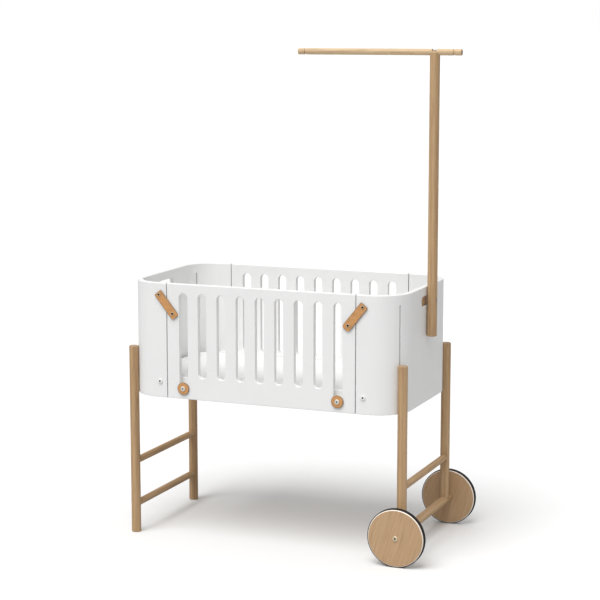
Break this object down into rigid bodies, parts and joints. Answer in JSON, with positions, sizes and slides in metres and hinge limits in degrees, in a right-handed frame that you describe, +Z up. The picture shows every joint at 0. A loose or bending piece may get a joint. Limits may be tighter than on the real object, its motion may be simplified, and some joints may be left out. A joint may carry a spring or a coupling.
{
  "type": "baby crib",
  "caption": "Round-cornered white baby crib with a slotted drop side, leather strap locks, height-adjustable oak legs, wheels at one end and a canopy pole.",
  "frame": {"origin": "on the floor, under the centre of the whole crib's box", "axes": "+Z up, +X towards the wheels, the drop side faces -Y"},
  "size_m": [0.9338, 0.5008, 1.4098],
  "materials": {
    "white_paint": "white satin lacquer on bent plywood",
    "oak": "oiled oak, satin",
    "plywood": "clear birch plywood",
    "leather": "tan leather with darker cut edges",
    "mattress_fabric": "white woven cotton cover",
    "tyre": "black rubber band",
    "steel": "brushed steel",
    "brass": "aged brass",
    "white_metal": "white lacquered screw head",
    "nylon": "natural nylon"
  },
  "bodies": {
    "crib_body": {"left_end_panel": "white_paint", "right_end_panel": "white_paint", "back_panel": "white_paint", "left_seam_dowel": "oak", "right_seam_dowel": "oak", "front_rail": "white_paint", "back_rail": "white_paint", "mattress_base": "plywood", "mattress": "mattress_fabric", "left_front_end_screw": "white_metal", "right_front_end_screw": "white_metal", "left_back_end_screw": "white_metal", "right_back_end_screw": "white_metal", "left_back_panel_screw": "white_metal", "right_back_panel_screw": "white_metal", "left_guide_disc": "leather", "right_guide_disc": "leather", "left_guide_screw": "steel", "right_guide_screw": "steel", "left_guide_bush": "nylon", "right_guide_bush": "nylon", "left_strap_washer": "brass", "right_strap_washer": "brass", "left_strap_screw": "brass", "right_strap_screw": "brass", "canopy_pole": "oak", "canopy_rod": "oak", "canopy_rod_screw": "steel", "canopy_clamp_block": "oak", "canopy_clamp_plate": "oak", "canopy_clamp_nut": "steel", "canopy_clamp_bolt": "steel"},
    "drop_side": {"drop_side_panel": "white_paint", "left_drop_side_stud": "brass", "right_drop_side_stud": "brass"},
    "left_strap": {"left_strap": "leather", "left_strap_cap": "brass"},
    "right_strap": {"right_strap": "leather", "right_strap_cap": "brass"},
    "left_legs": {"left_front_leg": "oak", "left_back_leg": "oak", "left_front_leg_clamp": "steel", "left_back_leg_clamp": "steel", "left_upper_rung": "oak", "left_lower_rung": "oak"},
    "right_legs": {"right_front_leg": "oak", "right_back_leg": "oak", "right_front_leg_clamp": "steel", "right_back_leg_clamp": "steel", "right_rung": "oak", "axle_bar": "oak", "right_front_axle_screw": "steel", "right_back_axle_screw": "steel", "front_wheel_bolt": "brass", "back_wheel_bolt": "brass"},
    "front_wheel": {"front_wheel_disc": "oak", "front_wheel_tyre": "tyre"},
    "back_wheel": {"back_wheel_disc": "oak", "back_wheel_tyre": "tyre"}
  },
  "joints": [
    {"name": "drop_side_slide", "type": "slide", "parent": "crib_body", "child": "drop_side", "axis": [0, 0, -1], "range_m": [0, 0.26]},
    {"name": "left_strap_swing", "type": "hinge", "parent": "crib_body", "child": "left_strap", "pos_m": [-0.35011, -0.2332, 0.717], "axis": [0, 1, 0], "range_deg": [0, 120]},
    {"name": "right_strap_swing", "type": "hinge", "parent": "crib_body", "child": "right_strap", "pos_m": [0.26789, -0.2332, 0.717], "axis": [0, -1, 0], "range_deg": [0, 120]},
    {"name": "left_legs_slide", "type": "slide", "parent": "crib_body", "child": "left_legs", "axis": [0, 0, 1], "range_m": [0, 0.175]},
    {"name": "right_legs_slide", "type": "slide", "parent": "crib_body", "child": "right_legs", "axis": [0, 0, 1], "range_m": [0, 0.175]},
    {"name": "front_wheel_spin", "type": "hinge", "parent": "right_legs", "child": "front_wheel", "pos_m": [0.37096, -0.2383, 0.0828], "axis": [0, 1, 0], "continuous": true},
    {"name": "back_wheel_spin", "type": "hinge", "parent": "right_legs", "child": "back_wheel", "pos_m": [0.37096, 0.2383, 0.0828], "axis": [0, 1, 0], "continuous": true}
  ],
  "couplings": [
    {"joint": "left_legs_slide", "follows": "right_legs_slide", "ratio": 1}
  ]
}
